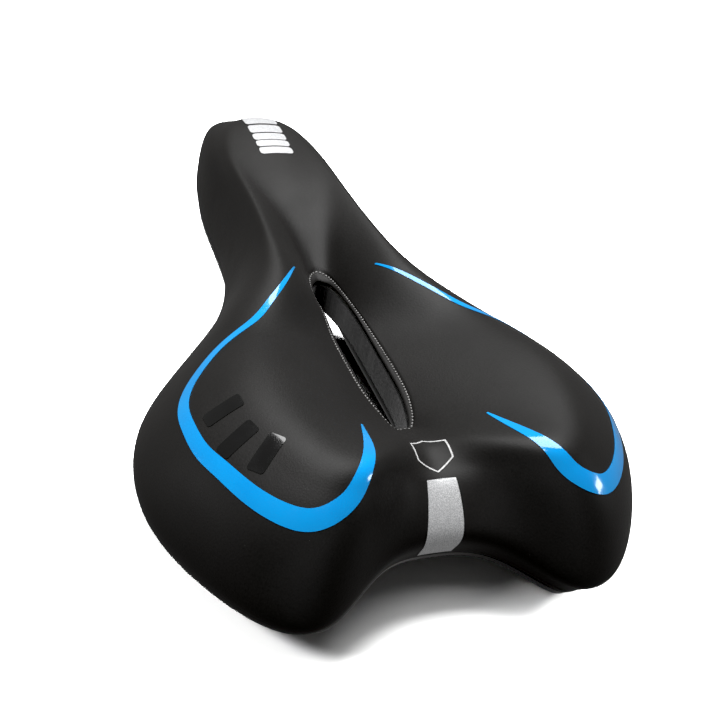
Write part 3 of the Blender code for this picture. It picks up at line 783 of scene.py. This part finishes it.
SCREWS = {
    "rear_rail_screw_left_inner": (-22, -97, 18.5, 29.5),
    "rear_rail_screw_left_outer": (-38, -97, 18.5, 29.5),
    "rear_rail_screw_right_inner": (22, -97, 18.5, 29.5),
    "rear_rail_screw_right_outer": (38, -97, 18.5, 29.5),
    "nose_rail_screw_rear": (0, 94, 21.8, 32.2),
    "nose_rail_screw_front": (0, 104, 21.8, 32.2),
}
BOSS_RADIUS = 4.6
HEAD_RADIUS = 3.4
HEAD_HEIGHT = 2.2
SCREW_RADIUS = 1.9
SOCKET_ACROSS = 2.0


def build_base(finish):
    """The moulded base: one shell with a glossy rim, and a boss over each screw."""
    rows = base_top()[::-1] + base_under()[::-1]
    rings = [spread(SECTION.row(*row)) for row in rows]
    base = loft("base_moulding", rings, finish)
    tree = tree_of(base)
    points, faces = [], []
    sides = 40
    for x, y, _, top in SCREWS.values():
        first = len(points)
        for radius, height in ((2.2, 0), (BOSS_RADIUS - 0.4, 0), (BOSS_RADIUS, 0.4)):
            for k in range(sides):
                turn = 2 * math.pi * k / sides
                points.append((x + radius * math.cos(turn), y + radius * math.sin(turn),
                               top + GAP + height))
        for flare in (0.0, 0.5):
            for k in range(sides):
                turn = 2 * math.pi * k / sides
                px = x + (BOSS_RADIUS + flare) * math.cos(turn)
                py = y + (BOSS_RADIUS + flare) * math.sin(turn)
                hit = tree.ray_cast(Vector((px, py, 0)) * MM, Vector((0, 0, 1)))[0]
                height = hit.z / MM + (1.0 if flare else -0.5)
                points.append((px, py, height))
        faces += loft_faces(5, sides, False, first)
        faces.append(tuple(first + 4 * sides + k for k in range(sides)))
        inner = len(points)
        for height in (0, 3.5):
            for k in range(sides):
                turn = 2 * math.pi * k / sides
                points.append((x + 2.2 * math.cos(turn), y + 2.2 * math.sin(turn),
                               top + GAP + height))
        faces += loft_faces(2, sides, False, inner)
        faces.append(tuple(inner + sides + k for k in range(sides)))
    bosses = mesh_piece("base_bosses", points, faces, finish)
    work = bmesh.new()
    work.from_mesh(base.data)
    work.from_mesh(bosses.data)
    bmesh.ops.remove_doubles(work, verts=work.verts, dist=0.001 * MM)
    work.to_mesh(base.data)
    work.free()
    bpy.data.objects.remove(bosses)
    base.data.shade_smooth()
    sharpen(base, 38)
    return finish_piece(base, "base_plastic", "base_shell")


def rail_route(sign):
    rear = smooth_route(REAR_BEND, 8)[:-8]
    nose = smooth_route(NOSE_BEND, 8)[8:]
    straight = np.linspace(rear[-1], nose[0], 12)[1:-1]
    return np.vstack([rear, straight, nose]) * (sign, 1, 1)


def build_rail(side, sign, finish):
    """A bent steel rail with its ends rounded off."""
    route = rail_route(sign)
    sides = 32
    rings = []
    for k, centre in enumerate(route):
        ahead = route[min(k + 1, len(route) - 1)] - route[max(k - 1, 0)]
        ahead /= np.linalg.norm(ahead)
        aside = np.cross(ahead, (0, 0, 1))
        aside /= np.linalg.norm(aside)
        up = np.cross(aside, ahead)
        turns = np.arange(sides) * 2 * math.pi / sides
        circle = [math.cos(t) * aside + math.sin(t) * up for t in turns]
        ends = []
        if k == 0:
            ends = [(0.6, 0.0), (0.88, 0.25), (1.0, 0.8)]
        elif k == len(route) - 1:
            ends = [(1.0, -0.8), (0.88, -0.25), (0.6, 0.0)]
        for scale, shift in ends or [(1.0, 0.0)]:
            rings.append([centre + ahead * shift + RAIL_RADIUS * scale * c for c in circle])
    rail = loft(f"rail_tube_{side}", [np.array(ring) for ring in rings], finish, closed=False)
    sharpen(rail, 50)
    return finish_piece(rail, "rail_steel", f"rail_{side}")


def hexagon_scale(turn):
    """Radius of a hexagon of apothem 1 in that direction."""
    third = math.pi / 3
    return 1 / math.cos((turn % third) - third / 2)


def build_screw(node, finish):
    """A socket-head screw, with a recess for a hexagon key in its head."""
    x, y, bottom, _ = SCREWS[node]
    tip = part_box(node)[1].z / MM
    under = bottom - GAP
    head = under - HEAD_HEIGHT
    sides = 48
    socket = SOCKET_ACROSS * 0.75
    profile = [
        (socket * 0.2, head + 1.5, True), (socket, head + 1.4, True), (socket, head + 0.15, True),
        (socket + 0.12, head, True), (2.6, head, False), (3.1, head + 0.2, False),
        (HEAD_RADIUS, head + 0.7, False), (HEAD_RADIUS, under - 0.1, False),
        (HEAD_RADIUS - 0.1, under, False), (SCREW_RADIUS, under, False),
        (SCREW_RADIUS, tip - 0.6, False), (SCREW_RADIUS - 0.6, tip, False),
    ]
    rings = []
    for radius, height, hexagonal in profile:
        ring = []
        for k in range(sides):
            turn = 2 * math.pi * k / sides
            reach = radius * (hexagon_scale(turn) if hexagonal else 1)
            ring.append((x + reach * math.cos(turn), y + reach * math.sin(turn), height))
        rings.append(np.array(ring))
    screw = loft(f"{node}_turned", rings, finish, closed=False)
    sharpen(screw, 30)
    return finish_piece(screw, "screw_steel", node)


def finish_blocks(finish):
    """The nylon rail blocks are right as they are, apart from rounded edges and their finish."""
    for name in ("rear_rail_block_left", "rear_rail_block_right", "nose_rail_block"):
        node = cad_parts[name]
        node.data.materials.clear()
        node.data.materials.append(finish)
        round_edges(node, 0.5)


# ---------------------------------------------------------------- films on the cover

def drape(tree, x, y, rise):
    """The point over the cover's top at that place in plan."""
    hit, normal = tree.ray_cast(Vector((x, y, 100)) * MM, Vector((0, 0, -1)))[:2]
    return np.array(hit) / MM + np.array(normal) * rise


def draped(plan, tree):
    """The upper and lower grids of a film, from a grid of plan points."""
    rows, columns = len(plan), len(plan[0])
    low = np.array([drape(tree, x, y, FILM_RISE) for row in plan for x, y in row])
    high = np.array([drape(tree, x, y, FILM_RISE + FILM_THICKNESS) for row in plan for x, y in row])
    return high.reshape(rows, columns, 3), low.reshape(rows, columns, 3)


def film(name, plan, tree, finish, slot, node):
    made = plate(name, *draped(plan, tree), finish)
    sharpen(made, 50)
    return finish_piece(made, slot, node)


# How many neighbouring points a strip's width factor is averaged over; an odd number.
SMOOTHING = 25


def strip_plan(line, widths, columns, tree=None):
    """Plan points of a strip; with a tree, its widths are measured along the slope."""
    line = np.asarray(line, float)
    ahead = np.gradient(line, axis=0)
    ahead /= np.linalg.norm(ahead, axis=1, keepdims=True)
    side = np.stack([ahead[:, 1], -ahead[:, 0]], 1)
    if tree:
        factors = np.array([flattened(tree, p, n) for p, n in zip(line, side)])
        spread_out = np.ones(SMOOTHING) / SMOOTHING
        padded = np.pad(factors, SMOOTHING // 2, mode="edge")
        widths = widths * np.convolve(padded, spread_out, mode="valid")
    across = np.linspace(-0.5, 0.5, columns)
    return [[p + n * w * a for a in across] for p, n, w in zip(line, side, widths)]


def flattened(tree, place, side):
    """How much shorter a small step to the side is in plan than along the surface."""
    normal = tree.ray_cast(Vector((place[0], place[1], 100)) * MM, Vector((0, 0, -1)))[1]
    slope = (normal.x * side[0] + normal.y * side[1]) / normal.z
    return 1 / math.sqrt(1 + slope**2)


def bar_plan(x, y, length, width, angle=0.0, corner=1.0):
    """Plan points of a straight bar with rounded corners."""
    ahead = np.array((math.cos(angle), math.sin(angle)))
    ends = corner * (1 - np.cos(np.linspace(0, math.pi / 2, 9)))
    middle = np.linspace(corner, length - corner, 22)[1:-1]
    along = np.concatenate([ends, middle, length - ends[::-1]])
    widths = []
    for place in along:
        gap = max(0.0, corner - min(place, length - place))
        widths.append(width - 2 * (corner - math.sqrt(max(0.0, corner**2 - gap**2))))
    line = [np.array((x, y)) + ahead * (place - length / 2) for place in along]
    return strip_plan(line, np.maximum(widths, 0.05), 9)


def build_films(cover, blue, silver, gloss, white):
    tree = tree_of(cover)
    fine = smooth_route(STRIPE, 14)
    for side, sign in (("left", -1), ("right", 1)):
        plan = strip_plan(fine[:, :2] * (sign, 1), np.maximum(fine[:, 2], 0.25), 9, tree)
        film(f"blue_stripe_{side}", plan, tree, blue, "blue_film", f"stripe_film_{side}")
    for k, (y, width) in enumerate(NOSE_BARS):
        plan = bar_plan(0, y, NOSE_BAR_LENGTH, width, 0, 1.6)
        name = f"nose_bar_film_{k + 1}"
        film(f"reflective_nose_bar_{k + 1}", plan, tree, silver, "reflective_film", name)
    for k, (x, y, degrees) in enumerate(GLOSS_BARS):
        angle = math.radians(degrees)
        plan = bar_plan(x, y, GLOSS_BAR_LENGTH, GLOSS_BAR_WIDTH, angle, 1.0)
        name = f"gloss_bar_film_{k + 1}"
        film(f"gloss_bar_{k + 1}", plan, tree, gloss, "gloss_black_film", name)
    build_rear_strip(silver)
    build_mark(tree, white)


def build_rear_strip(finish):
    around = np.linspace(-0.5, 0.5, 17) * REAR_STRIP_WIDTH / STRIP_SPAN
    across = np.linspace(3.35, 0.62, 60)
    low = skin_grid(around, across, -FILM_RISE)
    high = skin_grid(around, across, -FILM_RISE - FILM_THICKNESS)
    made = plate("reflective_rear_strip", high, low, finish)
    sharpen(made, 50)
    return finish_piece(made, "reflective_film", "rear_reflective_strip")


def build_mark(tree, finish):
    """A plain hexagonal outline."""
    loops = []
    for radius in (MARK_RADIUS - MARK_LINE / 2, MARK_RADIUS + MARK_LINE / 2):
        loop = []
        for k in range(6):
            a, b = k * math.pi / 3, (k + 1) * math.pi / 3
            for share in np.arange(10) / 10:
                x = radius * ((1 - share) * math.sin(a) + share * math.sin(b))
                y = radius * ((1 - share) * math.cos(a) + share * math.cos(b))
                loop.append((x, MARK_Y + y))
        loops.append(loop)
    rings = []
    for loop, lift in ((loops[0], 0), (loops[1], 0), (loops[1], 1), (loops[0], 1)):
        rise = FILM_RISE + lift * FILM_THICKNESS
        rings.append(np.array([drape(tree, x, y, rise) for x, y in loop]))
    made = loft("outline_mark_film", rings, finish)
    sharpen(made, 40)
    return finish_piece(made, "white_print", "outline_mark")


# ---------------------------------------------------------------- stage, light and camera

FLOOR_REACH = 2600
FLOOR_SIDES = 96


def build_stage():
    """A wide floor, lit until it is white, that the saddle neither reflects nor is lit by."""
    f = Finish("floor", (0.40, 0.40, 0.40), 0.35)
    f.shader.inputs["Specular IOR Level"].default_value = 0.2
    f.colour(f.mix(f.ramp(f.noise(180, 2), 0.3, 0.7), (0.39, 0.39, 0.39), (0.41, 0.41, 0.41)))
    points = [(FLOOR_REACH * math.cos(t), FLOOR_REACH * math.sin(t), 0)
              for t in np.linspace(0, 2 * math.pi, FLOOR_SIDES + 1)[:-1]]
    floor = mesh_piece("studio_floor", points, [tuple(range(FLOOR_SIDES))], f.material, smooth=False)
    if floor.data.polygons[0].normal.z < 0:
        floor.data.flip_normals()
    floor.visible_diffuse = False
    floor.visible_glossy = False


def panel(name, place, target, width, height, power, glossy_only=False):
    """A soft rectangular light turned towards a point."""
    light = bpy.data.lights.new(name, "AREA")
    light.shape = "RECTANGLE"
    light.size = width
    light.size_y = height
    light.energy = power
    made = bpy.data.objects.new(name, light)
    made.location = place
    made.rotation_euler = (Vector(target) - Vector(place)).to_track_quat("-Z", "Y").to_euler()
    made.visible_diffuse = not glossy_only
    bpy.context.scene.collection.objects.link(made)
    return made


def polar(azimuth, elevation, distance):
    """A point seen from the saddle's rear, to the right at a positive azimuth."""
    a, e = math.radians(azimuth), math.radians(elevation)
    return Vector((math.sin(a) * math.cos(e), -math.cos(a) * math.cos(e), math.sin(e))) * distance


# What a lamp serves: the saddle, only its reflections, or only the floor.
ALL, GLOSS, FLOOR = "all", "gloss", "floor"
# name, serves, (azimuth, elevation, distance), target, width, height, power
LAMPS = (
    ("overhead_softbox", ALL, (172, 77, 1.4), (0, 0, 0.03), 1.5, 1.5, 44),
    ("rear_left_softbox", GLOSS, (-58, 60, 1.4), (0, -0.06, 0.03), 0.9, 0.3, 7),
    ("right_glint", GLOSS, (66, 14, 1.3), (0.06, -0.08, 0.03), 0.3, 0.16, 1.2),
    ("low_rear_fill", ALL, (-15, 8, 1.5), (0, -0.1, 0.03), 1.4, 0.3, 3.2),
    ("low_left_fill", ALL, (-100, 8, 1.5), (0, 0, 0.03), 1.2, 0.3, 3),
    ("floor_wash", FLOOR, (178, 68, 1.5), (0, 0, 0), 0.7, 0.7, 150),
    ("floor_left_wash", FLOOR, (-92, 38, 1.3), (0, 0, 0), 0.4, 0.3, 60),
    ("floor_right_wash", FLOOR, (112, 12, 1.1), (0, 0, 0), 0.8, 0.16, 260),
)
SKY_COLOUR = (1.0, 0.995, 0.985, 1)
SKY_STRENGTH = 0.2
BACKDROP_STRENGTH = 1.0


def build_light():
    world = bpy.data.worlds.new("studio")
    bpy.context.scene.world = world
    world.use_nodes = True
    sky = world.node_tree.nodes["Background"]
    sky.inputs["Color"].default_value = SKY_COLOUR
    sky.inputs["Strength"].default_value = SKY_STRENGTH
    pale_backdrop(world.node_tree, sky)
    for name, serves, place, target, width, height, power in LAMPS:
        lamp = panel(name, polar(*place), target, width, height, power, serves == GLOSS)
        if serves == FLOOR:
            for_floor(lamp)


def pale_backdrop(tree, sky):
    """A pale surround where the view passes the floor's edge; it doesn't light the saddle."""
    pale = tree.nodes.new("ShaderNodeBackground")
    pale.inputs["Color"].default_value = SKY_COLOUR
    pale.inputs["Strength"].default_value = BACKDROP_STRENGTH
    path = tree.nodes.new("ShaderNodeLightPath")
    choice = tree.nodes.new("ShaderNodeMixShader")
    tree.links.new(path.outputs["Is Camera Ray"], choice.inputs[0])
    tree.links.new(sky.outputs[0], choice.inputs[1])
    tree.links.new(pale.outputs[0], choice.inputs[2])
    tree.links.new(choice.outputs[0], tree.nodes["World Output"].inputs["Surface"])


def for_floor(light):
    """Keeps a light on the floor alone, so that the floor burns out and the saddle doesn't."""
    group = bpy.data.collections.new(light.name + "_receivers")
    group.objects.link(bpy.data.objects["studio_floor"])
    light.light_linking.receiver_collection = group


CAMERA = {
    "azimuth": -26.8, "elevation": 35.1, "roll": 12.06, "distance": 0.44721, "lens": 59.54,
    "target": (0.00584, -0.02258, 0.02501),
}


def build_camera():
    azimuth = math.radians(CAMERA["azimuth"])
    elevation = math.radians(CAMERA["elevation"])
    roll = math.radians(CAMERA["roll"])
    back = Vector((math.sin(azimuth) * math.cos(elevation),
                   -math.cos(azimuth) * math.cos(elevation), math.sin(elevation)))
    right = (-back).cross(Vector((0, 0, 1))).normalized()
    up = right.cross(-back)
    x_axis = math.cos(roll) * right + math.sin(roll) * up
    y_axis = -math.sin(roll) * right + math.cos(roll) * up
    data = bpy.data.cameras.new("camera")
    data.sensor_width = 36
    data.lens = CAMERA["lens"]
    data.clip_start = 0.01
    camera = bpy.data.objects.new("camera", data)
    turn = Matrix((x_axis, y_axis, back)).transposed().to_4x4()
    camera.matrix_world = Matrix.Translation(Vector(CAMERA["target"]) + back * CAMERA["distance"]) @ turn
    bpy.context.scene.collection.objects.link(camera)
    bpy.context.scene.camera = camera


BLACK_POINT = 0.010


def set_look():
    """A plain view transform whose black point deepens the darkest tones."""
    look = bpy.context.scene.view_settings
    look.view_transform = "Standard"
    look.use_curve_mapping = True
    look.curve_mapping.black_level = (BLACK_POINT,) * 3
    look.curve_mapping.update()


# ---------------------------------------------------------------- the saddle

def main():
    build_camera()
    build_stage()
    build_light()
    set_look()
    cover = build_cover(leather_finish())
    build_foam(foam_finish())
    gel = gel_finish()
    build_gel("left", gel)
    build_gel("right", gel)
    glossy = moulded_finish("base_plastic", (0.006, 0.006, 0.0065), (0.009, 0.009, 0.0095),
                            0.10, 0.22, 1.4, 0.01)
    nylon = moulded_finish("nylon_block", (0.014, 0.014, 0.015), (0.024, 0.024, 0.025),
                           0.42, 0.58, 0.5, 0.04)
    build_base(glossy)
    build_lining(lining_finish())
    build_stitches(thread_finish())
    paint = steel_finish()
    build_rail("left", -1, paint)
    build_rail("right", 1, paint)
    finish_blocks(nylon)
    zinc = screw_finish()
    for node in SCREWS:
        build_screw(node, zinc)
    blue = gloss_film_finish("blue_film", (0.0, 0.29, 0.74), (0.0, 0.33, 0.80))
    gloss = gloss_film_finish("gloss_black_film", (0.004, 0.004, 0.004), (0.007, 0.007, 0.007), 0.03)
    build_films(cover, blue, reflective_finish(), gloss, white_finish())


main()
